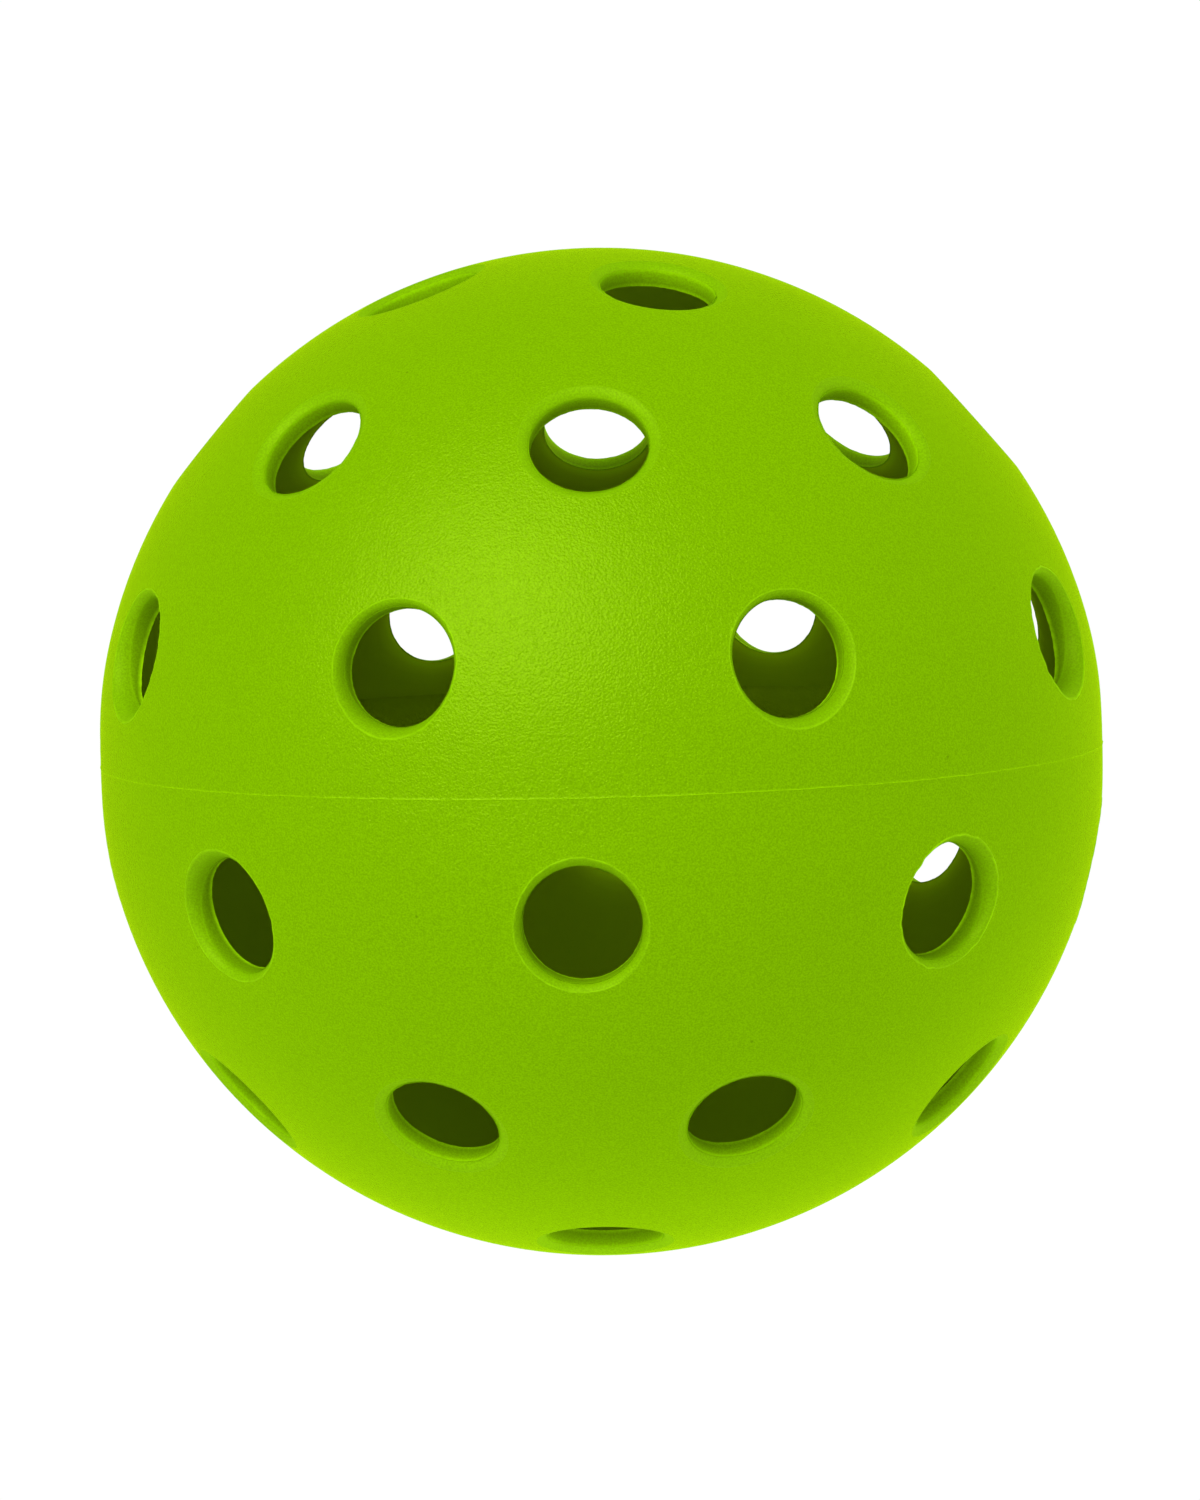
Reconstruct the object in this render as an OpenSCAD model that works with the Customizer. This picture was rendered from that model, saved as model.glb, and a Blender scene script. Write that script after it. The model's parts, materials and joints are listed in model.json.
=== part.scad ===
// Perforated plastic court ball, made of two moulded half shells
// that are welded rim to rim.
// Lengths are millimetres. The origin is the centre of the ball and
// +Z is the pole of the upper half, square to the weld seam.

/* [Ball] */
// Outside diameter of the ball
ball_d = 74; // [72:0.1:76]
// Wall of each half shell
wall = 1.7; // [1.4:0.1:2.4]

/* [Air holes] */
// Bore of every air hole
hole_d = 8.3; // [6:0.1:9]
// Radius of the rolled lip round the outside of a hole
lip_r = 0.55; // [0.3:0.05:0.9]
// Angle at which a lip breaks out of the outer surface
lip_break = 12; // [9:1:18]

/* [Hole rows of one half] */
// Latitude of the row beside the seam
seam_row_lat = 14.25; // [13:0.25:16]
// Latitude of the middle row
middle_row_lat = 40.5; // [38:0.25:43]
// Latitude of the row round the pole
pole_row_lat = 69; // [67:0.25:72]
// Holes in the row beside the seam, and in the middle row half a pitch on
wide_row_holes = 8; // [6:1:10]
// Holes in the row round the pole
pole_row_holes = 4; // [3:1:5]

/* [Weld] */
// Angle that the upper half is turned by against the lower one
half_turn = 24.5; // [0:0.5:45]
// Thickness of the fused film between the two rims
weld_film = 0.3; // [0.2:0.05:0.6]
// Height of the trimmed weld line above the outer surface
weld_line = 0.08; // [0.04:0.01:0.2]
// Radius of the weld bead that is left inside
bead_r = 0.6; // [0.4:0.05:1]

/* [Hidden] */

ball_r = ball_d / 2;
inner_r = ball_r - wall;
rim_h = weld_film / 2;
bore_r = hole_d / 2;
// How far a cutter runs past the surface that it cuts
past = 2;

// A lip is a circle that touches the bore and crosses the outer sphere at lip_break
lip_mid = bore_r + lip_r;
lip_reach = sqrt(ball_r ^ 2 + lip_r ^ 2 - 2 * ball_r * lip_r * cos(lip_break));
lip_h = sqrt(lip_reach ^ 2 - lip_mid ^ 2);

shell_green = "#84BF0A";
weld_green = "#94CC1E";
ball_fn = 160;
bore_fn = 64;
lip_fn = 32;

// Section of the air that one hole takes out: a straight bore with a rolled outer lip
module hole_section() {
    foot = inner_r - past;
    top = ball_r + past;
    difference() {
        translate([0, foot])
            square([lip_mid, top - foot]);
        translate([bore_r, foot - past])
            square([lip_r + past, lip_h - foot + past]);
        translate([lip_mid, lip_h])
            circle(r = lip_r, $fn = lip_fn);
    }
}

// A row of holes that point away from the centre of the ball, from the -Y side on
module hole_row(count, lat, turn) {
    for (i = [0 : count - 1])
        rotate([0, 0, turn + i * 360 / count])
            rotate([90 - lat, 0, 0])
                rotate_extrude($fn = bore_fn)
                    hole_section();
}

// One moulding serves for both halves: a hollow half ball that opens at its rim
module half_shell() {
    half_pitch = 180 / wide_row_holes;
    difference() {
        sphere(r = ball_r, $fn = ball_fn);
        sphere(r = inner_r, $fn = ball_fn);
        translate([-ball_d / 2 - past, -ball_d / 2 - past, rim_h - ball_d])
            cube([ball_d + 2 * past, ball_d + 2 * past, ball_d]);
        hole_row(wide_row_holes, seam_row_lat, 0);
        hole_row(wide_row_holes, middle_row_lat, half_pitch);
        hole_row(pole_row_holes, pole_row_lat, 0);
    }
}

module upper_half_shell() {
    color(shell_green)
        rotate([0, 0, half_turn])
            half_shell();
}

// The same moulding turned over, with a hole of its seam row on -Y
module lower_half_shell() {
    color(shell_green)
        rotate([180, 0, 180])
            half_shell();
}

// Section of the weld: the fused film, proud outside, and the bead against the inner walls
module weld_section() {
    film_foot = inner_r - bead_r / 2;
    translate([film_foot, -weld_film / 2])
        square([ball_r + weld_line - film_foot, weld_film]);
    intersection() {
        translate([inner_r, 0])
            circle(r = bead_r, $fn = lip_fn);
        circle(r = inner_r, $fn = ball_fn);
    }
}

module weld_bead() {
    color(weld_green)
        rotate_extrude($fn = ball_fn)
            weld_section();
}

upper_half_shell();
lower_half_shell();
weld_bead();
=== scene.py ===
# %% [markdown]
# A court ball of lime green plastic, moulded as two half shells with forty air holes and welded rim to
# rim. The construction model is loaded first and stays as it is, and the ball's sizes are taken from it.
# This lesson adds what a maker would see on the finished ball, such as the rolled hole lips, the thin
# flash that the mould leaves, the trimmed weld and the grain of the plastic.

# %% Load the ball as it was constructed
import itertools
import json

import bpy
import numpy as np
from mathutils import Matrix, Vector


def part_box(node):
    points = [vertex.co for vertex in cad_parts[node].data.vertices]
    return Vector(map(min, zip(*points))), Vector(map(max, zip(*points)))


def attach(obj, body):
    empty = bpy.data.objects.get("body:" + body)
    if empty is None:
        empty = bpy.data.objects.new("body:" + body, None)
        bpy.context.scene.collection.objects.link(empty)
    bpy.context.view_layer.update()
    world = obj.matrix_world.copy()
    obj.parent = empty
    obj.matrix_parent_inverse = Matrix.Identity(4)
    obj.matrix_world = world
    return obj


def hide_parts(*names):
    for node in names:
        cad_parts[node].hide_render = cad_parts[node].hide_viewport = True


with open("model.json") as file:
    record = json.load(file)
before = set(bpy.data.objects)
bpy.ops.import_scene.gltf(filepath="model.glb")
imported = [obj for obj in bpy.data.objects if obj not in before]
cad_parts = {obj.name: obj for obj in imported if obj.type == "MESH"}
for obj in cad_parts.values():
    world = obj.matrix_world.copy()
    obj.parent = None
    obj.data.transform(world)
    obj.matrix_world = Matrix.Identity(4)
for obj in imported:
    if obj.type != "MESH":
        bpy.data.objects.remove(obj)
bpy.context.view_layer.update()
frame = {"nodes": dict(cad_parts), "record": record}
print("nodes:", sorted(frame["nodes"]))

# %% [markdown]
# The pole of the upper half gives the ball's radius, its rim gives half of the weld film, the smallest
# distance from the centre gives the inside of the wall, and the upper cord hole gives the bore, the row
# round the pole and how far the two halves are turned apart. Measuring them here, and not typing them
# again, keeps the looks on the construction.

# %% Measure the half shells, the weld and the cord hole
MM = 0.001


def reach(node):
    """Smallest and largest distance of a node's points from the centre of the ball, in millimetres."""
    mesh = frame["nodes"][node].data
    flat = np.empty(3 * len(mesh.vertices))
    mesh.vertices.foreach_get("co", flat)
    distance = np.linalg.norm(flat.reshape(-1, 3), axis=1) / MM
    return distance.min(), distance.max()


cord_hole = next(m for m in frame["record"]["mounts"] if m["name"] == "cord_hole_upper")
upper_low, upper_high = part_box("upper_half_shell")
ball_r = upper_high.z / MM
rim_h = upper_low.z / MM
inner_r = reach("upper_half_shell")[0]
weld_line = reach("weld_bead")[1] - ball_r
bead_r = inner_r - reach("weld_bead")[0]
bore_r = cord_hole["dims"]["r_mm"]
pole_row_lat = np.degrees(np.arcsin(cord_hole["axis"][2]))
half_turn = np.degrees(np.arctan2(cord_hole["axis"][0], -cord_hole["axis"][1]))
print(f"ball {2 * ball_r:.2f} mm, wall {ball_r - inner_r:.2f} mm, bore {2 * bore_r:.2f} mm")
print(f"weld film {2 * rim_h:.2f} mm, line {weld_line:.2f} mm, bead {bead_r:.2f} mm")
print(f"pole row at {pole_row_lat:.2f} degrees, halves turned by {half_turn:.2f} degrees")

# %% [markdown]
# One half has twenty holes in three rows: eight beside the seam, eight more half a pitch on, and four
# round the pole. A hole is only a direction from the centre of the ball, so a row is a short formula. The
# latitudes of the two wide rows are repeated from the construction, because no mount gives them.

# %% Point the twenty holes of one half
seam_row_lat = 14.25
middle_row_lat = 40.5
wide_row_holes = 8
pole_row_holes = 4


def hole_row(count, lat, first):
    """Unit directions evenly round one parallel. Longitude starts on -Y and turns towards +X:
    (cos lat sin lon, -cos lat cos lon, sin lat)."""
    lon = np.radians(first + np.arange(count) * 360 / count)
    flat, rise = np.cos(np.radians(lat)), np.sin(np.radians(lat))
    return np.stack([flat * np.sin(lon), -flat * np.cos(lon), np.full(count, rise)], axis=1)


seam_row = hole_row(wide_row_holes, seam_row_lat, 0)
middle_row = hole_row(wide_row_holes, middle_row_lat, 180 / wide_row_holes)
pole_row = hole_row(pole_row_holes, pole_row_lat, 0)
holes = np.concatenate([seam_row, middle_row, pole_row])
print(len(holes), "holes in one half")

# %% [markdown]
# A sphere with many holes is awkward as one grid: latitude lines would cut across the lips. Cutting the
# holes with booleans leaves long thin triangles that shade badly. So the half is shared out among its
# holes. Each hole owns the part of the sphere that is nearer to it than to any other hole, and such a
# cell is filled by rings that run from its border down into the bore. The seam row is mirrored across
# the seam as well, because the border between a hole and its mirror image is the rim itself.

# %% Share the half shell out among its holes
same_place = 1e-7
corner_digits = 9


def unit(vectors):
    """Each vector divided by its own length."""
    return vectors / np.linalg.norm(vectors, axis=-1, keepdims=True)


def cell_corners(owners):
    """Points that are equally near to three owners and no nearer to any other: the normal of the plane
    through three owners, kept where no owner's direction is closer."""
    i, j, k = np.array(list(itertools.combinations(range(len(owners)), 3))).T
    corner = unit(np.cross(owners[j] - owners[i], owners[k] - owners[i]))
    closeness = np.sum(corner * owners[i], axis=1)
    corner *= np.where(closeness < 0, -1, 1)[:, None]
    kept = np.abs(closeness) > (corner @ owners.T).max(axis=1) - same_place
    return np.unique(np.round(corner[kept], corner_digits) + 0.0, axis=0)


mirrored = seam_row * [1, 1, -1]
owners = np.concatenate([holes, mirrored])
corners = cell_corners(owners)
nearness = corners @ owners.T
own = nearness > nearness.max(axis=1, keepdims=True) - 10 * same_place
print(len(corners), "corners of cells")

# %% [markdown]
# Two neighbours can only be joined if both have the same points along their common border. So a border is
# worked out from its two corners alone, with no regard to the hole that it is made for.

# %% Draw the border of each cell
border_step = np.radians(0.92)
steep = 0.9


def around(axis):
    """Two unit vectors square to an axis and to each other, so that angles round it can be measured. They
    start from Z, or from X where the axis is too steep for that."""
    helper = np.array([0.0, 0.0, 1.0]) if abs(axis[2]) < steep else np.array([1.0, 0.0, 0.0])
    east = unit(np.cross(helper, axis))
    return east, np.cross(axis, east)


def cell_border(axis, corners):
    """Evenly spaced points round a cell: the corners in order of their angle round the axis, and between
    two of them the straight line pushed out to the sphere, so both neighbours get the same points."""
    east, north = around(axis)
    order = corners[np.argsort(np.arctan2(corners @ north, corners @ east))]
    sides = []
    for start, end in zip(order, np.roll(order, -1, axis=0)):
        count = max(2, round(np.arccos(start @ end) / border_step))
        share = np.arange(count)[:, None] / count
        sides.append(unit(start + (end - start) * share))
    return np.concatenate(sides)


borders = [cell_border(axis, corners[own[:, n]]) for n, axis in enumerate(holes)]
print("points round the cells:", sorted({len(b) for b in borders}))

# %% [markdown]
# Where two faces of a mould meet, a hair of plastic creeps between them. On this ball such flash shows
# as a fine, uneven line round every lip, as a ragged burr on the inner edge of every bore and along the
# weld. Its height wanders, so a ripple is needed that closes on itself after one turn: a sum of sines
# with whole numbers of waves. Seeded phases give every hole its own line, the same in each run.

# %% A ripple that closes after one turn
def ripple(angle, waves, seed):
    """Sum of sines with those whole numbers of waves per turn, with seeded phases, scaled to stay
    between -1 and 1 and to reach one of them."""
    phases = np.random.default_rng(seed).uniform(0, 2 * np.pi, len(waves))
    total = np.sin(np.asarray(waves)[:, None] * angle + phases[:, None]).sum(axis=0)
    return total / np.abs(total).max()


def patchy(wave, middle, swing, least):
    """A ripple as a strength: the middle plus the swing times the ripple, held between the least and 1."""
    return np.clip(middle + swing * wave, least, 1)


whole_turn = np.linspace(0, 2 * np.pi, 200, endpoint=False)
trial = ripple(whole_turn, [2, 3, 5, 9, 14], 1)
print(f"a ripple runs from {trial.min():.2f} to {trial.max():.2f}")

# %% [markdown]
# Each hole has a lip, and the flash on it is a thin upright fin where the mould's pin met the outer mould.
# Beside the seam that is the outer end of the lip, and because those pins are drawn out at a slant, the
# lip there grows wider and deeper towards the seam and the bore leans. In the other rows the fin stands
# at the mouth, where a flatter lip ends in a crisp edge. Each kind of lip also says how much light and
# shade is painted into the colour against the skin: painted light on the lip and at the bore's mouth, and
# painted shade towards the bore's inner edge, in place of the light that the thin plastic lets through and
# the shade deeper in the bore. One set of numbers for each kind lets a single profile serve for both.

# %% The two kinds of lip
lip_starts = np.radians(13)
# Painted light and shade for this kind of lip: on the lip, at the bore's mouth and at its inner edge.
middle_lip = {"wide": 0.74, "deep": 0.43, "ends": np.radians(50), "line": 0.0, "fin": 1.0, "burr": 0.1,
              "painted_lip_light": 1.2, "painted_bore_light": 1.7, "painted_edge_light": 1.0}


def seam_lip(side):
    """A lip beside the seam; side is -1 towards the pole and 1 towards the seam. Its width grows on the
    seam's half only, and its depth and end slope grow all the way across."""
    share = (1 + side) / 2
    # Painted light and shade for a lip beside the seam: on the lip, at the bore's mouth and at its inner
    # edge.
    return {"wide": 0.50 + 0.42 * np.clip(side, 0, 1) ** 2.5, "deep": 0.50 + 0.80 * share**1.6,
            "ends": np.radians(68 + 16 * share), "line": 1.0, "fin": 0.4, "burr": 1.0,
            "painted_lip_light": 1.26, "painted_bore_light": 1.25, "painted_edge_light": 0.95}


towards_seam = seam_lip(np.array([-1.0, 0.0, 1.0]))
print("lip depth from pole to seam:", np.round(towards_seam["deep"], 2), "mm")

# %% [markdown]
# Every cell has one profile, from its border over the lip and through the wall to the inner border. It
# is given by two numbers on each ring: the distance from the hole's axis and the height along it. Two more
# are for the material: how much of the ring is flash, which is paler and carries a painted highlight, and
# a factor of painted light and shade that scales its colour.
# The outer half comes first: the skin, the line where the lip breaks out, and the lip, which is an arc
# from the outer surface to the mouth of the bore and ends in the fin.

# %% The outer rings: skin, line, lip and fin
skin_rings = 9
skin_share = np.linspace(1, 0, skin_rings)[:, None] ** 1.5
line_half_w = 0.05
line_h = 0.05
line_foot = 0.4
lip_rings = 8
fin_w = 0.05
fin_h = 0.11
fin_tip = 0.2
# The fin is paler, partly its own tone and partly a painted highlight along it.
fin_pale_and_highlight = 0.85
fin_foot_pale_and_highlight = 0.6
# A painted glow on the skin beside the line, fading outwards.
painted_glow_share = 0.1
painted_glow_reach = 0.5


def mouth_height(lip):
    """Height of a bore's mouth: that of the sphere at the outer end of the lip, less the lip's depth."""
    return np.sqrt(ball_r**2 - (bore_r + lip["wide"]) ** 2) - lip["deep"]


def outer_rings(line_r, border_angle, lip, line, fin):
    """Rings from the border to the mouth, each as distance, height, flash and painted light. Skin at angle
    a from the axis has distance ball_r sin a and height ball_r cos a, and is finer towards the lip. The
    line stands on the sphere at line_r. The lip is an arc between two slopes, stretched to its width and
    depth. The skin beside the line has a painted glow that fades outwards, and the lip has painted light
    that grows towards the mouth, where the fin is paler with a painted highlight."""
    glow = painted_glow_share * (lip["painted_lip_light"] - 1)
    first = np.arcsin((line_r + 2 * line_half_w) / ball_r)
    skin = first + (border_angle - first) * skin_share
    skin_r = ball_r * np.sin(skin)
    rings = [(skin_r, ball_r * np.cos(skin), 0, 1 + glow * np.exp(-(skin_r - line_r) / painted_glow_reach))]
    for offset, rise in ((line_half_w, line_foot), (0, 1)):
        level = np.sqrt(ball_r**2 - (line_r + offset) ** 2)
        rings.append((line_r + offset, level + rise * line_h * line, rise * line, 1 + glow))

    slope = lip_starts + (lip["ends"] - lip_starts) * np.linspace(0, 1, lip_rings + 1)[1:, None]
    inward = (np.sin(slope) - np.sin(lip_starts)) / (np.sin(lip["ends"]) - np.sin(lip_starts))
    drop = (np.cos(lip_starts) - np.cos(slope)) / (np.cos(lip_starts) - np.cos(lip["ends"]))
    line_level = np.sqrt(ball_r**2 - line_r**2)
    mouth = mouth_height(lip)
    at_mouth = np.arange(lip_rings)[:, None] == lip_rings - 1
    # Painted light on the lip, from the glow at its outer end to the lip's full amount at the mouth.
    brightness = lip["painted_lip_light"] - (lip["painted_lip_light"] - 1 - glow) * (1 - inward)
    rings.append((line_r + (bore_r + fin_w - line_r) * inward, line_level + (mouth - line_level) * drop,
                  fin_foot_pale_and_highlight * fin * at_mouth, brightness))
    rings.append((bore_r + fin_tip * fin_w, mouth + fin_h * fin, fin_pale_and_highlight * fin, lip["painted_lip_light"]))
    return rings


print(f"mouth of a middle bore {mouth_height(middle_lip):.2f} mm along its axis")

# %% [markdown]
# The inner half of the profile is the straight bore, a ragged burr on its inner edge, where the pin met the
# mould's core, and the smooth lining. The bore is painted darker from its mouth to its inner edge, as
# painted shade, the burr is painted bright as a line of painted light, and the lining is painted brighter
# close to the edge, as painted light for the light that leaks in there.

# %% The inner rings: bore, burr and lining
bore_rings = 6
bore_least = 0.1
# The bore's mouth is paler, partly its own tone and partly a painted highlight.
bore_pale_and_highlight = 0.2
burr_waves = [3, 5, 8, 13, 19, 27, 38, 51]
burr_w = 0.03
burr_h = 0.04
burr_deep = 0.28
burr_faint = 0.4
# Painted light that makes the burr a bright line.
painted_burr_light = 1.6
burr_rows = ((1, -0.3, 0.9), (0.8, 0.6, 0.9), (-0.6, 0.1, 0))
lining_rings = 8
lining_share = np.linspace(0, 1, lining_rings)[:, None] ** 1.8
lining_gap = 0.15
# Painted light on the lining beside the edge, for the light that leaks in.
painted_leak_light = 1.5
painted_leak_reach = 0.8

edge_height = np.sqrt(inner_r**2 - bore_r**2)


def inner_rings(angle, border_angle, lip, fin, seed):
    """Rings from the mouth to the inner border, each as distance, height, flash and painted light. The bore
    keeps its distance from the axis, and its painted light falls from its mouth to its inner edge as
    painted shade. Each row of the burr says how far it stands into the bore, how far it hangs below the
    edge and how pale it is, which is partly a painted highlight, all by a ripple; the burr has painted
    light of its own. Lining at angle a from the axis has distance inner_r sin a and height inner_r cos a,
    and its painted light fades as an exponential of the way from the edge."""
    down = np.linspace(0, 1, bore_rings)[:, None]
    bore_top = mouth_height(lip) - fin_w
    bore_foot = np.minimum(edge_height + burr_deep, bore_top - bore_least)
    # Painted shade: the bore's colour gets darker from its mouth to its inner edge.
    brightness = lip["painted_bore_light"] + (lip["painted_edge_light"] - lip["painted_bore_light"]) * down**0.8
    rings = [(bore_r + 0 * angle, bore_top + (bore_foot - bore_top) * down,
              bore_pale_and_highlight * fin * (down == 0), brightness)]

    ragged = patchy(ripple(angle, burr_waves, seed), middle=0.4, swing=0.75, least=0.08)
    for inset, sunk, pale in burr_rows:
        burr_r = bore_r - inset * burr_w * ragged + (inset < 0) * burr_w
        # The burr's paleness is partly its own tone and partly a painted highlight.
        burr_pale_and_highlight = lip["burr"] * pale * (burr_faint + (1 - burr_faint) * ragged)
        rings.append((burr_r, edge_height - sunk * burr_h * ragged, burr_pale_and_highlight, painted_burr_light))

    start = np.arcsin((bore_r + lining_gap) / inner_r)
    lining = start + (border_angle - start) * lining_share
    from_edge = inner_r * np.sin(lining) - bore_r
    # Painted light on the lining, fading away from the edge.
    rings.append((inner_r * np.sin(lining), inner_r * np.cos(lining), 0,
                  1 + painted_leak_light * np.exp(-from_edge / painted_leak_reach)))
    return rings


print(f"inner edge of a bore {edge_height:.2f} mm along its axis")

# %% [markdown]
# Both halves of the profile are put together as one array with a row for each ring. Three more things
# follow from where a ring lies: how far a leaning bore shifts it, whether it is grained skin, and whether
# it lines the inside of the ball, where the colour is painted more olive, as the tone of the shade there.

# %% The whole profile of a hole
line_waves = [2, 3, 4, 7, 11, 17, 23, 29]
line_wander = 0.11
uneven_waves = [1, 2, 3, 5, 8, 13, 21, 34]


def hole_profile(angle, border_angle, lip, bold, seed):
    """Distance from the axis, height along it, lean and four marks, one row for each ring and one column
    for each angle. The lean grows with the depth below the skin and fades out along the lining. The marks
    are flash, which also paints a highlight, painted light and shade, grained skin, and inside, which
    paints the olive shade. A bold line is stronger and wanders more."""
    wander = line_wander * lip["line"] * bold**2 * ripple(angle, line_waves, seed)
    uneven = ripple(angle, uneven_waves, seed + 1)
    line = lip["line"] * bold * patchy(uneven, middle=0.6, swing=0.6, least=0.1)
    fin = lip["fin"] * patchy(uneven, middle=0.85, swing=0.35, least=0.5)
    rings = outer_rings(bore_r + lip["wide"] + wander, border_angle, lip, line, fin)
    rings += inner_rings(angle, border_angle, lip, fin, seed + 2)
    blocks = [np.broadcast_arrays(*ring, angle[None])[:4] for ring in rings]
    radius, height, flash, light = [np.concatenate(rows) for rows in zip(*blocks)]

    lean = np.clip(height[skin_rings - 1] - height, 0, ball_r - inner_r)
    lean[:skin_rings] = 0
    lean[-lining_rings:] *= (1 - lining_share) ** 2
    grained = np.zeros_like(radius)
    grained[:skin_rings] = 1
    inside = np.zeros_like(radius)
    inside[-lining_rings:] = 1
    return radius, height, lean, np.stack([flash, light, grained, inside], axis=-1)


trial_border = np.full(len(whole_turn), np.radians(14))
trial = hole_profile(whole_turn, trial_border, middle_lip, 1, 0)[0]
print(len(trial), "rings from the outer border to the inner one")

# %% [markdown]
# A cell is the profile carried round its hole: each point is the hole's direction times the height plus
# the direction across times the distance. The quads of a grid follow from counting alone. Only the
# cells of the seam row need one more band of quads, the flat rim that joins the outer skin to the
# lining, and only where their border lies on the seam.

# %% One cell as a grid
bore_lean = np.tan(np.radians(6))


def cell_grid(axis, border, bold, slant, seed):
    """Points axis * height + across * distance, leaned towards the pole beside the seam, their marks as
    four columns, and the grid's quads with the rim's."""
    east, north = around(axis)
    across = border - (border @ axis)[:, None] * axis
    border_angle = np.arctan2(np.linalg.norm(across, axis=1), border @ axis)
    across = unit(across)
    angle = np.arctan2(across @ north, across @ east)
    beside_seam = axis[2] < np.sin(np.radians(seam_row_lat + 1))
    poleward = unit(np.array([0.0, 0.0, 1.0]) - axis[2] * axis)
    lip = seam_lip(-across @ poleward) if beside_seam else middle_lip
    radius, height, lean, marks = hole_profile(angle, border_angle, lip, bold, seed)
    points = height[..., None] * axis + radius[..., None] * across
    points += (lean * slant * beside_seam)[..., None] * poleward

    rings, spokes = radius.shape
    number = np.arange(rings * spokes).reshape(rings, spokes)
    beyond = np.roll(number, -1, axis=1)
    following = np.roll(number, -1, axis=0)
    corner = np.roll(beyond, -1, axis=0)
    quads = np.stack([number, beyond, corner, following], axis=-1)
    on_seam = np.abs(border[:, 2]) < same_place
    rim = quads[-1][on_seam & np.roll(on_seam, -1)]
    return points.reshape(-1, 3), marks.reshape(-1, 4), np.concatenate([quads[:-1].reshape(-1, 4), rim])


trial = cell_grid(holes[0], borders[0], 1, bore_lean, 0)
print(len(trial[0]), "points and", len(trial[2]), "quads in the first cell")

# %% [markdown]
# Three small moves finish the form: the wall grows inwards beside the seam, where the weld needs more to
# hold, the rim is lifted by half of the weld film, and the waist sinks a little, because a hot weld
# shrinks as it sets: the outline in the picture is about a fifth of a millimetre slimmer at the seam.
# Moving the points by a formula of their height keeps the cells joined.

# %% Three small moves beside the seam
rim_extra = 0.3
rim_reach = 15.0
waist_dip = 0.2
waist_h = 4.5
lift_h = 3.0


def thicken_rim(points):
    """Points moved towards the centre by their depth in the wall, from none at the skin to rim_extra at
    the lining, faded by an exponential of the sixth power of the height over the seam."""
    distance = np.linalg.norm(points, axis=1)
    depth = (ball_r - distance) / (ball_r - inner_r)
    fade = np.exp(-((points[:, 2] / rim_reach) ** 6))
    return points * (1 - rim_extra * depth * fade / distance)[:, None]


def sink_waist(points):
    """Points drawn towards the centre by a bell curve of their height over the seam."""
    bell = np.exp(-((points[:, 2] / waist_h) ** 2))
    return points * (1 - waist_dip / ball_r * bell)[:, None]


def lift_rim(points):
    """Heights near the seam raised, most at the rim and not at all at lift_h, with each point kept at
    its own distance from the centre."""
    distance = np.linalg.norm(points, axis=1)
    z = points[:, 2] + rim_h * np.clip(1 - points[:, 2] / lift_h, 0, 1)
    flat = np.hypot(points[:, 0], points[:, 1])
    scale = np.sqrt(np.maximum(distance**2 - z**2, 0)) / np.maximum(flat, same_place)
    return np.stack([points[:, 0] * scale, points[:, 1] * scale, z], axis=1)


trial = sink_waist(lift_rim(thicken_rim(np.array([[ball_r, 0.0, 0.0], [inner_r, 0.0, 0.0]]))))
print(f"wall at the rim {np.ptp(np.linalg.norm(trial, axis=1)):.2f} mm")

# %% [markdown]
# The cells are joined by giving points in the same place one number. Every shot of the mould has its own
# flash, and its bores beside the seam lean by amounts of their own, so each half has its own seed.

# %% Join the cells into one half shell
bold_least = 0.45
lean_most = 1.5
join_step = 1000 * same_place


def half_shell(shot):
    """All twenty cells with shared points, for one shot of the mould: points, marks and quads. The shot
    seeds how bold each hole's line is and how far its bore leans, and gives each hole three more seeds."""
    chance = np.random.default_rng(shot)
    bold = chance.uniform(bold_least, 1, len(holes))
    slant = bore_lean * chance.uniform(0, lean_most, len(holes))
    cells = [cell_grid(axis, border, bold[n], slant[n], 100 * shot + 3 * n)
             for n, (axis, border) in enumerate(zip(holes, borders))]
    firsts = np.cumsum([0] + [len(points) for points, _, _ in cells])
    points = np.concatenate([points for points, _, _ in cells])
    marks = np.concatenate([marks for _, marks, _ in cells])
    quads = np.concatenate([quads + first for (_, _, quads), first in zip(cells, firsts)])
    place = np.round(points / join_step).astype(np.int64)
    _, kept, number = np.unique(place, axis=0, return_index=True, return_inverse=True)
    return sink_waist(lift_rim(thicken_rim(points[kept]))), marks[kept], number.reshape(-1)[quads]


upper_points, upper_marks, upper_quads = half_shell(605)
lower_points, lower_marks, lower_quads = half_shell(45113)
print(len(upper_points), "points in the upper half and", len(lower_points), "in the lower one")

# %% [markdown]
# Both halves come from the same mould. The upper one is turned about the pole by the angle measured
# above, and the lower one is turned over: x and z change sign, which is half a turn about Y and so keeps
# the faces pointing outwards. The marks go along as attributes of the points, for the material to read.

# %% Turn the two halves into place
sharp_from = np.radians(50)


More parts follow.
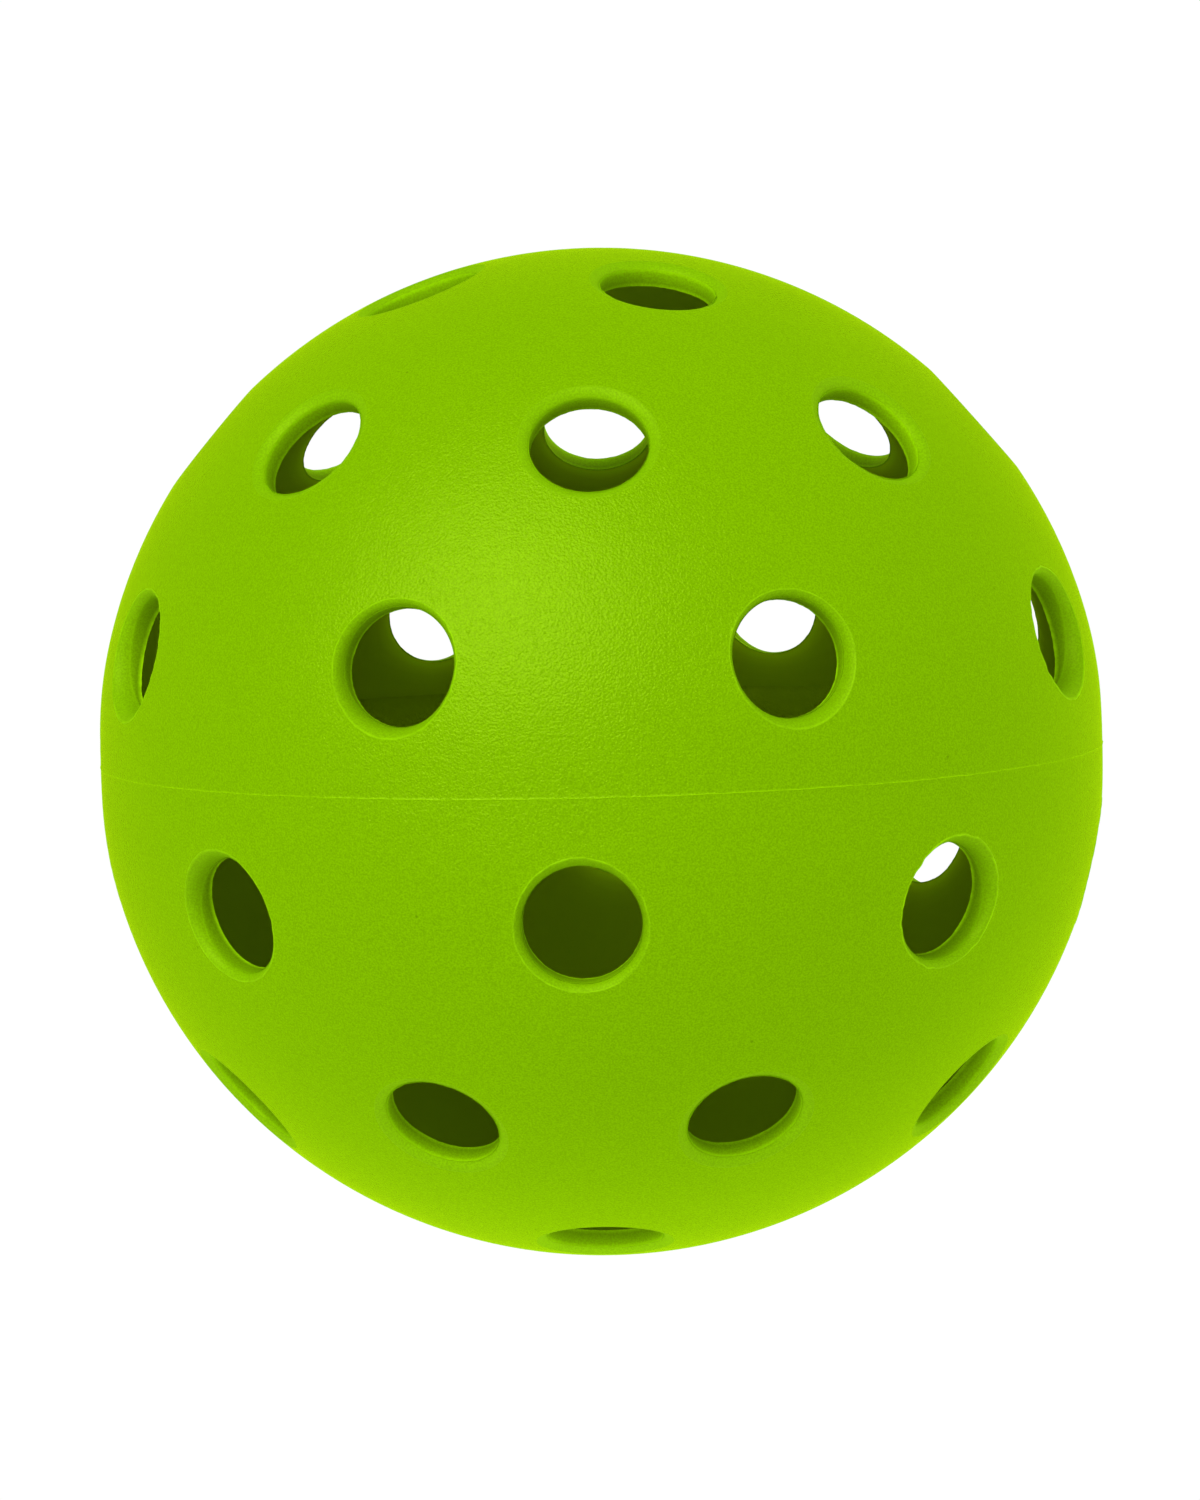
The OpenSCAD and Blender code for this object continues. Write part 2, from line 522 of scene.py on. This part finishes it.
def make_piece(name, points, marks, quads):
    """A mesh object at the origin from points in millimetres, smooth, with sharp edges kept sharp."""
    mesh = bpy.data.meshes.new(name)
    mesh.from_pydata((points * MM).tolist(), [], quads.tolist())
    for layer_name, values in zip(("flash", "light", "grained", "inside"), marks.T):
        layer = mesh.attributes.new(layer_name, "FLOAT", "POINT")
        layer.data.foreach_set("value", values.astype(np.float32))
    mesh.polygons.foreach_set("use_smooth", np.ones(len(quads), bool))
    mesh.set_sharp_from_angle(angle=sharp_from)
    mesh.validate()
    piece = bpy.data.objects.new(name, mesh)
    bpy.context.scene.collection.objects.link(piece)
    sides = np.empty(len(mesh.loops), int)
    mesh.loops.foreach_get("edge_index", sides)
    print(f"{name}: {2 * len(mesh.polygons)} triangles, {np.sum(np.bincount(sides) != 2)} open edges")
    return piece


turn = np.radians(half_turn)
turned = np.array([[np.cos(turn), -np.sin(turn), 0], [np.sin(turn), np.cos(turn), 0], [0, 0, 1]])
turned_over = np.diag([-1, 1, -1])
upper_half = make_piece("upper_half_moulding", upper_points @ turned.T, upper_marks, upper_quads)
lower_half = make_piece("lower_half_moulding", lower_points @ turned_over.T, lower_marks, lower_quads)

# %% [markdown]
# The weld is what was squeezed out of the two melted rims. Outside it was trimmed to a fine crest that
# wanders up and down and breaks off in places. Inside nobody trims it, so a low, wide bead stays. It is
# one closed profile carried round the seam.

# %% The weld as a profile round the seam
weld_steps = 1800
weld_seed = 901
crest_half_w = 0.045
crest_rows = ((-crest_half_w, 0.05, 0.15), (0, 0.6, 0.9), (crest_half_w, 0.1, 0.15))
crest_waves = [2, 5, 11, 23, 41, 71, 110, 170, 260]
wander_waves = [3, 7, 13, 29, 47, 83, 140]
crest_wander = 0.05
bead_points = 12
bead_half_w = 2.2
bead_share = 0.75
bead_uneven = 0.15
bead_waves = [2, 6, 15, 37, 80]


def weld_ring():
    """Distance from the axis and height of each profile point, one row for each point and one column for
    each angle round the seam: the outer crest, the film's top, the low inner bead as a power of a sine
    across its width, the film's foot. Each row of the crest says how far it is from the crest's middle, how
    much of the weld line's height it has and how pale it is."""
    angle = np.arange(weld_steps) * 2 * np.pi / weld_steps
    outside, inside, rim = [[size * np.ones(weld_steps)] for size in (ball_r, inner_r, rim_h)]
    crest_z = crest_wander * ripple(angle, wander_waves, weld_seed)
    crest = patchy(ripple(angle, crest_waves, weld_seed + 1), middle=0.7, swing=0.75, least=0.12)
    offset, rise, pale = np.array(crest_rows).T[..., None]
    bead = bead_r * (bead_share + bead_uneven * ripple(angle, bead_waves, weld_seed + 2))
    bend = np.linspace(0, np.pi, bead_points)[:, None]
    distance = np.concatenate([outside, ball_r + rise * weld_line * crest, outside,
                               inside, inner_r - bead * np.sin(bend) ** 1.4, inside])
    bead_z = bead_half_w * np.cos(bend) * np.ones(weld_steps)
    height = np.concatenate([np.negative(rim), crest_z + offset, rim, rim, bead_z, np.negative(rim)])
    points = np.stack([distance * np.sin(angle), -distance * np.cos(angle), height], axis=-1)
    marks = np.zeros(distance.shape + (4,))
    # The crest is paler, partly its own tone and partly a painted highlight along it.
    marks[1:len(crest_rows) + 1, :, 0] = pale * crest
    marks[..., 1:3] = 1
    marks[-bead_points - 1:-1, :, 3] = 1

    rows = len(distance)
    number = np.arange(rows * weld_steps).reshape(rows, weld_steps)
    beyond = np.roll(number, -1, axis=1)
    quads = np.stack([number, beyond, np.roll(beyond, -1, axis=0), np.roll(number, -1, axis=0)], axis=-1)
    points = sink_waist(thicken_rim(points.reshape(-1, 3)))
    return points, marks.reshape(-1, 4), quads.reshape(-1, 4)


weld = make_piece("weld_ring", *weld_ring())

# %% [markdown]
# The ball has no moving parts, so every piece rides on its one body. Each also stands for the constructed
# solid that it dresses, which is hidden. The table also names a plastic for each, which the loop doesn't
# use.

# %% Tie the pieces to the construction
for piece, node, slot in ((upper_half, "upper_half_shell", "shell_plastic"),
                          (lower_half, "lower_half_shell", "shell_plastic"),
                          (weld, "weld_bead", "weld_plastic")):
    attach(piece, "root")
    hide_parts(node)
    print(piece.name, "stands for", node)

# %% [markdown]
# The plastic is a through-dyed lime green with no paint on it, so its own colour is nearly even: it drifts
# a little where the melt flowed and has a fine stipple and a few dark specks. Painted light and shade are
# mixed in as well: a painted olive shade inside the ball, a paler flash with a painted highlight, and
# painted light beside the edges, for the light that gets through there. Noise in the ball's own
# coordinates fits this better than a wrapped picture, which would need a seam of its own. Node trees are
# easier to read when a node is made and wired in one line, so a helper does that first.

# %% A helper for node trees
def add_node(tree, kind, inputs=None, **settings):
    """A node of that kind. Settings are its properties; inputs are sockets, set to a value or linked."""
    made = tree.nodes.new(kind)
    for name, value in settings.items():
        setattr(made, name, value)
    for socket, value in (inputs or {}).items():
        if isinstance(value, bpy.types.NodeSocket):
            tree.links.new(value, made.inputs[socket])
        else:
            made.inputs[socket].default_value = value
    return made


def mark(tree, name):
    """The socket that reads one of the marks of the points."""
    return add_node(tree, "ShaderNodeAttribute", attribute_name=name).outputs["Fac"]


# %% [markdown]
# The colour is mixed step by step, and each step has its own green and its own amount, so a loop can do it.
# The painted light and shade are no colour of their own: they scale the finished mix.

# %% The colour of the plastic
lime = (0.246, 0.540, 0.0004, 1)
deep_lime = (0.230, 0.510, 0.0002, 1)
grain_lime = (0.165, 0.365, 0.0002, 1)
speck_lime = (0.100, 0.220, 0.0002, 1)
# Pale flash with a painted highlight along the fins, burrs and crest.
flash_pale_and_highlight = (0.400, 0.880, 0.003, 1)
# Painted olive shade for the inside of the ball.
olive_inside_shade = (0.276, 0.493, 0.0004, 1)
grain_size = 0.12 * MM
grain_low = 0.3
grain_high = 0.7
grain_most = 0.65
speck_gap = 5 * MM
speck_outer = 0.03
speck_core = 0.012
speck_most = 0.6


def lime_colour(tree, place, drift):
    """The colour's socket: two greens mixed by the drift, then mixed with the stipple, the specks, the
    painted olive shade inside and the pale flash with its painted highlight in turn, and scaled by the
    painted light and shade."""
    grain = add_node(tree, "ShaderNodeTexNoise", {"Vector": place, "Scale": 1 / grain_size, "Detail": 0.0})
    stipple = add_node(tree, "ShaderNodeMapRange",
                       {"Value": grain.outputs["Fac"], "From Min": grain_low, "From Max": grain_high,
                        "To Max": grain_most})
    dot = add_node(tree, "ShaderNodeTexVoronoi", {"Vector": place, "Scale": 1 / speck_gap})
    speck = add_node(tree, "ShaderNodeMapRange",
                     {"Value": dot.outputs["Distance"], "From Min": speck_outer, "From Max": speck_core,
                      "To Max": speck_most})
    colour = add_node(tree, "ShaderNodeMixRGB", {"Fac": drift, "Color1": lime, "Color2": deep_lime})
    for amount, green in ((stipple.outputs["Result"], grain_lime), (speck.outputs["Result"], speck_lime),
                          (mark(tree, "inside"), olive_inside_shade), (mark(tree, "flash"), flash_pale_and_highlight)):
        colour = add_node(tree, "ShaderNodeMixRGB",
                          {"Fac": amount, "Color1": colour.outputs["Color"], "Color2": green})
    # Painted light and shade: the colour is scaled by the light mark.
    lit = add_node(tree, "ShaderNodeVectorMath",
                   {0: colour.outputs["Color"], "Scale": mark(tree, "light")}, operation="SCALE")
    return lit.outputs["Vector"]


print(f"stipple {grain_size / MM:.2f} mm fine, specks up to {2 * speck_outer * speck_gap / MM:.1f} mm wide")

# %% [markdown]
# The mould was grained, which shows as fine bumps on the skin but not on the lips that smooth pins made,
# and the blade that trimmed the weld left short upright streaks beside the seam. Both are far too small
# for the mesh, so they are bump maps, one laid over the other.

# %% The relief of the skin
peel_size = 0.18 * MM
peel_deep = 0.075 * MM
streak_gap = 0.5 * MM
streak_stretch = 0.1
streak_h = 3.5 * MM
streak_deep = 0.04 * MM
streak_most = 0.6


def skin_relief(tree, place, grained):
    """The normal's socket: streaks, which are a noise stretched upwards and faded out away from the seam,
    and over them the bumps of a fine noise where the skin is grained."""
    stretched = add_node(tree, "ShaderNodeMapping",
                         {"Vector": place,
                          "Scale": (1 / streak_gap, 1 / streak_gap, streak_stretch / streak_gap)})
    streak = add_node(tree, "ShaderNodeTexNoise", {"Vector": stretched.outputs["Vector"], "Scale": 1.0})
    height = add_node(tree, "ShaderNodeSeparateXYZ", {"Vector": place}).outputs["Z"]
    distance = add_node(tree, "ShaderNodeMath", {0: height}, operation="ABSOLUTE")
    near = add_node(tree, "ShaderNodeMapRange",
                    {"Value": distance.outputs["Value"], "From Max": streak_h, "To Min": streak_most,
                     "To Max": 0.0})
    scraped = add_node(tree, "ShaderNodeBump",
                       {"Height": streak.outputs["Fac"], "Distance": streak_deep,
                        "Strength": near.outputs["Result"]})
    bumps = add_node(tree, "ShaderNodeTexNoise", {"Vector": place, "Scale": 1 / peel_size, "Detail": 1.0})
    peel = add_node(tree, "ShaderNodeBump",
                    {"Height": bumps.outputs["Fac"], "Distance": peel_deep, "Strength": grained,
                     "Normal": scraped.outputs["Normal"]})
    return peel.outputs["Normal"]


print(f"bumps {peel_size / MM:.2f} mm fine, streaks up to {streak_h / MM:.1f} mm from the seam")

# %% [markdown]
# Colour and relief come together in one plastic with a satin shine, which is duller on the smooth lips and
# inside. The weld is melted from the same plastic, so it gets the same finish under its own name.

# %% The moulded lime plastic
shine_lime = (0.66, 1.0, 0.4, 1)
shine_level = 0.55
drift_size = 14 * MM
satin_least = 0.12
satin_most = 0.18
pin_rough = 0.5


def lime_plastic(name):
    """Plastic with the lime colour and the relief. Where it is grained, its roughness lies between two
    satin values by the drift, which is a soft noise; elsewhere it is pin_rough."""
    material = bpy.data.materials.new(name)
    material.use_nodes = True
    tree = material.node_tree
    shader = tree.nodes["Principled BSDF"]
    place = add_node(tree, "ShaderNodeTexCoord").outputs["Object"]
    drift = add_node(tree, "ShaderNodeTexNoise", {"Vector": place, "Scale": 1 / drift_size,
                                                  "Detail": 3.0, "Roughness": 0.55}).outputs["Fac"]
    grained = mark(tree, "grained")
    satin = add_node(tree, "ShaderNodeMapRange",
                     {"Value": drift, "To Min": satin_least, "To Max": satin_most})
    finish = add_node(tree, "ShaderNodeMapRange",
                      {"Value": grained, "To Min": pin_rough, "To Max": satin.outputs["Result"]})
    tree.links.new(lime_colour(tree, place, drift), shader.inputs["Base Color"])
    tree.links.new(skin_relief(tree, place, grained), shader.inputs["Normal"])
    tree.links.new(finish.outputs["Result"], shader.inputs["Roughness"])
    shader.inputs["Specular IOR Level"].default_value = shine_level
    shader.inputs["Specular Tint"].default_value = shine_lime
    return material


shell_plastic = lime_plastic("lime_shell_plastic")
weld_plastic = lime_plastic("lime_weld_plastic")
upper_half.data.materials.append(shell_plastic)
lower_half.data.materials.append(shell_plastic)
weld.data.materials.append(weld_plastic)
print("materials:", shell_plastic.name, weld_plastic.name)

# %% [markdown]
# The camera stands almost level with the seam, a little above it and to the right, with a long lens that
# hardly shows the far side. Its angles, its distance and its lens were fitted to the ball's outline and
# to the holes that can be looked through.

# %% The camera
camera_azimuth = np.radians(2.7)
camera_elevation = np.radians(4.87)
camera_roll = np.radians(-1.459)
camera_distance = 452.7 * MM
camera_slide = -0.11 * MM
camera_rise = 0.107 * MM
lens_mm = 147.47

right = Vector((np.cos(camera_azimuth), np.sin(camera_azimuth), 0))
back = Vector((np.sin(camera_azimuth) * np.cos(camera_elevation),
               -np.cos(camera_azimuth) * np.cos(camera_elevation), np.sin(camera_elevation)))
up = back.cross(right)
camera_x = right * np.cos(camera_roll) + up * np.sin(camera_roll)
camera_y = up * np.cos(camera_roll) - right * np.sin(camera_roll)
camera_data = bpy.data.cameras.new("camera")
camera_data.lens = lens_mm
camera_data.clip_start = 10 * MM
camera = bpy.data.objects.new("camera", camera_data)
camera_place = back * camera_distance + camera_x * camera_slide + camera_y * camera_rise
camera.matrix_world = (Matrix.Translation(camera_place)
                       @ Matrix((camera_x, camera_y, back)).transposed().to_4x4())
bpy.context.scene.collection.objects.link(camera)
bpy.context.scene.camera = camera
print("camera at", [round(c / MM, 1) for c in camera.matrix_world.translation], "mm")

# %% [markdown]
# The ball was lit in a white tent: light comes from all sides, and one soft lamp up on the left gives the
# only highlight. The tent is dimmer at the front, where the camera looks in, on top and a little on the
# left, so the rim of the ball and its underside are bright. It also glows more in two opposite corners,
# low on the left and high on the right. A world that glows by a formula of the direction is cheaper than
# many lamps and casts no hard shadows.

# %% The white tent
tent_seen = 1.02
tent_light = 0.9
tent_matt = (1.0, 1.0, 0.12, 1)
tent_gloss = (0.41, 0.68, 0.004, 1)
tent_shine = 1.38
shine_evened = 0.7
dimmer = camera_x * -0.27 + camera_y * 0.57 + back * 0.56
corners_glow = 0.415
white = (1, 1, 1, 1)


def tent_glow(tree, shader_kind, direction):
    """A glow of tent_light times one, minus the dot product of the direction from the ball with the dimmer
    side, plus corners_glow times that direction's parts to the right and upwards. The gloss sees it evened
    out towards tent_shine, and lime; the camera sees it white; its light is yellowish."""
    ray = add_node(tree, "ShaderNodeLightPath")
    place = add_node(tree, "ShaderNodeTexCoord").outputs[direction]
    aim = add_node(tree, "ShaderNodeVectorMath", {0: place}, operation="NORMALIZE")
    fall, across, upward = [add_node(tree, "ShaderNodeVectorMath", {0: aim.outputs["Vector"], 1: side},
                                     operation="DOT_PRODUCT").outputs["Value"]
                            for side in (dimmer, camera_x * -corners_glow, camera_y)]
    dimmed = add_node(tree, "ShaderNodeMath", {0: across, 1: upward, 2: fall}, operation="MULTIPLY_ADD")
    faded = add_node(tree, "ShaderNodeMapRange",
                     {"Value": dimmed.outputs["Value"], "From Min": -1.0, "From Max": 1.0,
                      "To Min": 2 * tent_light, "To Max": 0.0})
    evened = add_node(tree, "ShaderNodeMapRange",
                      {"Value": ray.outputs["Is Glossy Ray"], "From Max": 1 / shine_evened,
                       "To Min": faded.outputs["Result"], "To Max": tent_shine})
    strength = add_node(tree, "ShaderNodeMapRange",
                        {"Value": ray.outputs["Is Camera Ray"], "To Min": evened.outputs["Result"],
                         "To Max": tent_seen})
    colour = add_node(tree, "ShaderNodeMixRGB", {"Fac": ray.outputs["Is Glossy Ray"],
                                                 "Color1": tent_matt, "Color2": tent_gloss})
    seen = add_node(tree, "ShaderNodeMixRGB", {"Fac": ray.outputs["Is Camera Ray"],
                                               "Color1": colour.outputs["Color"], "Color2": white})
    return add_node(tree, shader_kind, {"Strength": strength.outputs["Result"],
                                        "Color": seen.outputs["Color"]})


world = bpy.data.worlds.new("white_tent")
world.use_nodes = True
world.node_tree.nodes.clear()
sky = tent_glow(world.node_tree, "ShaderNodeBackground", "Generated")
add_node(world.node_tree, "ShaderNodeOutputWorld", {"Surface": sky.outputs["Background"]})
bpy.context.scene.world = world
print("the tent glows at", tent_light, "and is seen at", tent_seen)

# %% [markdown]
# The ground in the picture is as white as the back. A floor that glows like a light table, by the same
# formula as the tent, leaves no shadow round the foot of the ball.

# %% The light table
floor_half = 3.0
floor_z = -ball_r * MM
floor_corners = [(x * floor_half, y * floor_half, floor_z) for x, y in ((-1, -1), (1, -1), (1, 1), (-1, 1))]
floor_mesh = bpy.data.meshes.new("light_table")
floor_mesh.from_pydata(floor_corners, [], [(0, 1, 2, 3)])
floor = bpy.data.objects.new("light_table", floor_mesh)
bpy.context.scene.collection.objects.link(floor)
table_white = bpy.data.materials.new("table_white")
table_white.use_nodes = True
table_white.node_tree.nodes.clear()
table_glow = tent_glow(table_white.node_tree, "ShaderNodeEmission", "Object")
add_node(table_white.node_tree, "ShaderNodeOutputMaterial", {"Surface": table_glow.outputs["Emission"]})
floor_mesh.materials.append(table_white)
print("floor at", round(floor_z / MM, 2), "mm")

# %% [markdown]
# The one lamp is placed from the camera's side: a highlight sits where the surface faces halfway between
# the lamp and the camera, so the lamp's direction follows from the place of the highlight. Two settings
# finish the light: the plain view shows the greens as they were mixed, and light that bounces from wall to
# wall is left out, which keeps the inside as dark as in the picture.

# %% The soft lamp
lamp_distance = 0.6
lamp_size = 0.6
lamp_power = 2.9
lamp_direction = (camera_x * -0.37 + camera_y * 0.52 + back * 0.77).normalized()
lamp_data = bpy.data.lights.new("soft_lamp", "AREA")
lamp_data.shape = "DISK"
lamp_data.size = lamp_size
lamp_data.energy = lamp_power
lamp_data.color = tent_matt[:3]
lamp = bpy.data.objects.new("soft_lamp", lamp_data)
lamp.matrix_world = (Matrix.Translation(lamp_direction * lamp_distance)
                     @ lamp_direction.to_track_quat("Z", "Y").to_matrix().to_4x4())
bpy.context.scene.collection.objects.link(lamp)
bpy.context.scene.view_settings.view_transform = "Standard"
bpy.context.scene.cycles.diffuse_bounces = 0
print("lamp power", lamp_power, "W")
